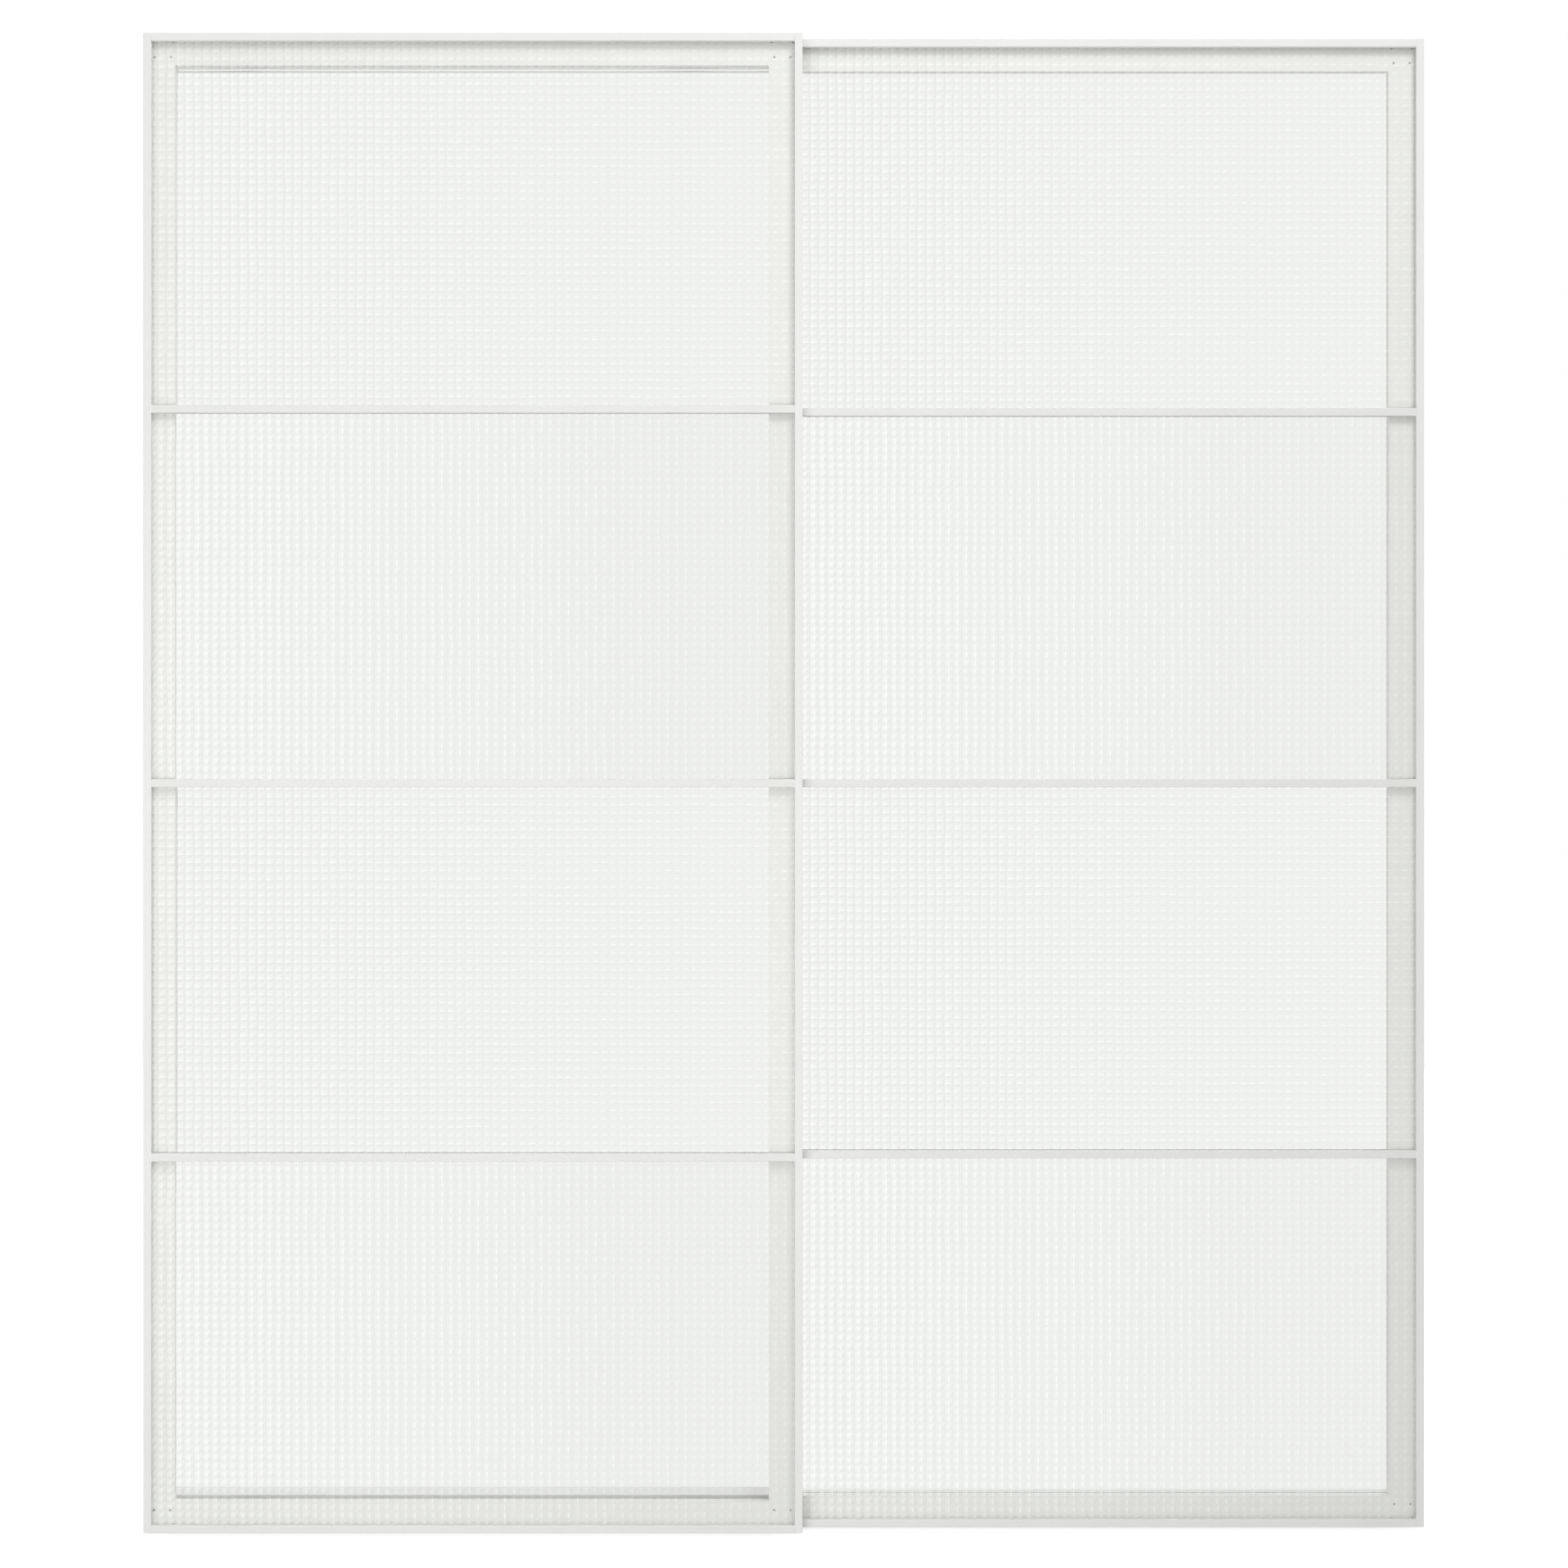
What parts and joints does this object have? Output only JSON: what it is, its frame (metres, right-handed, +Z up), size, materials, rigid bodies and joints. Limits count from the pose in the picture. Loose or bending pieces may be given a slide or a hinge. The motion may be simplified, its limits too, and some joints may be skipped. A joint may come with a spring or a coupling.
{
  "type": "pair of sliding doors",
  "caption": "Two overlapping white framed sliding doors with cross-reeded glass panels and slim bars, hung on rollers from a double top track and guided in a double bottom track.",
  "frame": {"origin": "middle of the top track's screw line, on the track's back face, which bears on the carcase", "axes": "+X to the right seen from the front, +Y from the doors to the carcase behind them, +Z up"},
  "size_m": [1.98, 0.086, 2.325],
  "materials": {
    "white_frame": "white powder coat, satin",
    "reeded_glass": "clear cross-reeded toughened glass with a slight haze",
    "cast_bracket": "die cast, matt",
    "steel_screws": "zinc plated, dull",
    "plated_steel": "zinc plated sheet",
    "axle_steel": "turned, bright",
    "roller_nylon": "moulded nylon",
    "shoe_nylon": "moulded nylon",
    "white_track": "white powder coat, satin",
    "stop_rubber": "moulded rubber"
  },
  "bodies": {
    "tracks": {"top_track": "white_track", "bottom_track": "white_track", "upper_left_stop": "stop_rubber", "upper_right_stop": "stop_rubber", "lower_left_stop": "stop_rubber", "lower_right_stop": "stop_rubber"},
    "front_door": {"front_left_stile": "white_frame", "front_right_stile": "white_frame", "front_top_rail": "white_frame", "front_bottom_rail": "white_frame", "front_bar_1": "white_frame", "front_bar_2": "white_frame", "front_bar_3": "white_frame", "front_panel_1": "reeded_glass", "front_panel_2": "reeded_glass", "front_panel_3": "reeded_glass", "front_panel_4": "reeded_glass", "front_top_left_bracket": "cast_bracket", "front_top_right_bracket": "cast_bracket", "front_bottom_left_bracket": "cast_bracket", "front_bottom_right_bracket": "cast_bracket", "front_corner_screws": "steel_screws", "front_left_hanger": "plated_steel", "front_right_hanger": "plated_steel", "front_left_guide": "plated_steel", "front_right_guide": "plated_steel", "front_left_shoe": "shoe_nylon", "front_right_shoe": "shoe_nylon", "front_roller_axles": "axle_steel", "front_fitting_screws": "steel_screws"},
    "rear_door": {"rear_left_stile": "white_frame", "rear_right_stile": "white_frame", "rear_top_rail": "white_frame", "rear_bottom_rail": "white_frame", "rear_bar_1": "white_frame", "rear_bar_2": "white_frame", "rear_bar_3": "white_frame", "rear_panel_1": "reeded_glass", "rear_panel_2": "reeded_glass", "rear_panel_3": "reeded_glass", "rear_panel_4": "reeded_glass", "rear_top_left_bracket": "cast_bracket", "rear_top_right_bracket": "cast_bracket", "rear_bottom_left_bracket": "cast_bracket", "rear_bottom_right_bracket": "cast_bracket", "rear_corner_screws": "steel_screws", "rear_left_hanger": "plated_steel", "rear_right_hanger": "plated_steel", "rear_left_guide": "plated_steel", "rear_right_guide": "plated_steel", "rear_left_shoe": "shoe_nylon", "rear_right_shoe": "shoe_nylon", "rear_roller_axles": "axle_steel", "rear_fitting_screws": "steel_screws"},
    "front_left_roller": {"front_left_roller": "roller_nylon"},
    "front_right_roller": {"front_right_roller": "roller_nylon"},
    "rear_left_roller": {"rear_left_roller": "roller_nylon"},
    "rear_right_roller": {"rear_right_roller": "roller_nylon"}
  },
  "joints": [
    {"name": "front_door_slide", "type": "slide", "parent": "tracks", "child": "front_door", "axis": [1, 0, 0], "range_m": [0, 0.965]},
    {"name": "rear_door_slide", "type": "slide", "parent": "tracks", "child": "rear_door", "axis": [1, 0, 0], "range_m": [-0.965, 0]},
    {"name": "front_left_roller_spin", "type": "hinge", "parent": "front_door", "child": "front_left_roller", "pos_m": [-0.83, -0.008, -0.002], "axis": [0, 1, 0], "continuous": true},
    {"name": "front_right_roller_spin", "type": "hinge", "parent": "front_door", "child": "front_right_roller", "pos_m": [-0.135, -0.008, -0.002], "axis": [0, 1, 0], "continuous": true},
    {"name": "rear_left_roller_spin", "type": "hinge", "parent": "rear_door", "child": "rear_left_roller", "pos_m": [0.135, -0.008, -0.0235], "axis": [0, 1, 0], "continuous": true},
    {"name": "rear_right_roller_spin", "type": "hinge", "parent": "rear_door", "child": "rear_right_roller", "pos_m": [0.83, -0.008, -0.0235], "axis": [0, 1, 0], "continuous": true}
  ],
  "couplings": [
    {"joint": "front_left_roller_spin", "follows": "front_door_slide", "rad_per_m": 142.86},
    {"joint": "front_right_roller_spin", "follows": "front_door_slide", "rad_per_m": 142.86},
    {"joint": "rear_left_roller_spin", "follows": "rear_door_slide", "rad_per_m": 142.86},
    {"joint": "rear_right_roller_spin", "follows": "rear_door_slide", "rad_per_m": 142.86}
  ]
}
